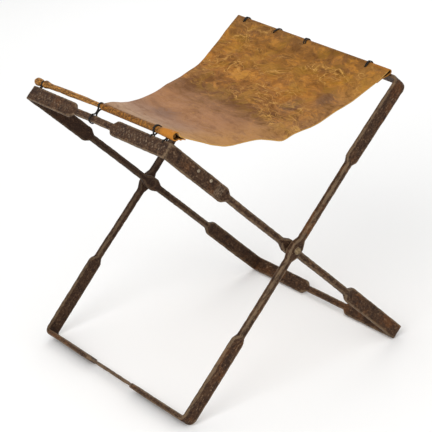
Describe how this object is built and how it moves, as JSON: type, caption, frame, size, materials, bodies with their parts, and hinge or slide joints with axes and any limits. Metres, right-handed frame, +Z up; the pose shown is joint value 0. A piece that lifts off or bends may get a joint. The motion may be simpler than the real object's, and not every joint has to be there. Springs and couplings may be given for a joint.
{
  "type": "folding x-frame stool",
  "caption": "Folding stool: nested wrought iron frames crossed at riveted pivots, with a slung leather seat hemmed over a stick and a rod and tied on with wire.",
  "frame": {"origin": "on the floor, under the middle of the stool's bounding box", "axes": "+Z up; the pivot axis runs along Y, with the front at -Y; the outer frame leans towards +X at the top and the inner frame towards -X"},
  "size_m": [0.4872, 0.4494, 0.5],
  "materials": {
    "iron_outer": "hammered, dark oiled patina",
    "iron_inner": "hammered, dark oiled patina",
    "studs": "worn bright",
    "stick": "smooth, darkened by use",
    "rod": "dark",
    "leather": "worn, scratched and creased",
    "rivets": "hammered",
    "washers": "dark",
    "spacers": "dark",
    "wire": "dark iron wire"
  },
  "bodies": {
    "outer": {"outer_frame": "iron_outer", "pivot_rivet_front": "rivets", "pivot_rivet_back": "rivets", "rivet_washer_front": "washers", "rivet_washer_back": "washers", "boss_spacer_front": "spacers", "boss_spacer_back": "spacers", "hem_rod": "rod", "hem_tie_1": "wire", "hem_tie_2": "wire", "hem_tie_3": "wire", "hem_tie_4": "wire", "seat_leather": "leather"},
    "inner": {"inner_frame": "iron_inner", "plate_studs": "studs", "seat_stick": "stick", "stick_tie_1": "wire", "stick_tie_2": "wire", "stick_tie_3": "wire", "stick_tie_4": "wire"}
  },
  "joints": [
    {"name": "fold", "type": "hinge", "parent": "outer", "child": "inner", "pos_m": [-0.00548, -0.00045, 0.23656], "axis": [0, 1, 0], "range_deg": [0, 78], "deforming": ["seat_leather"]}
  ]
}
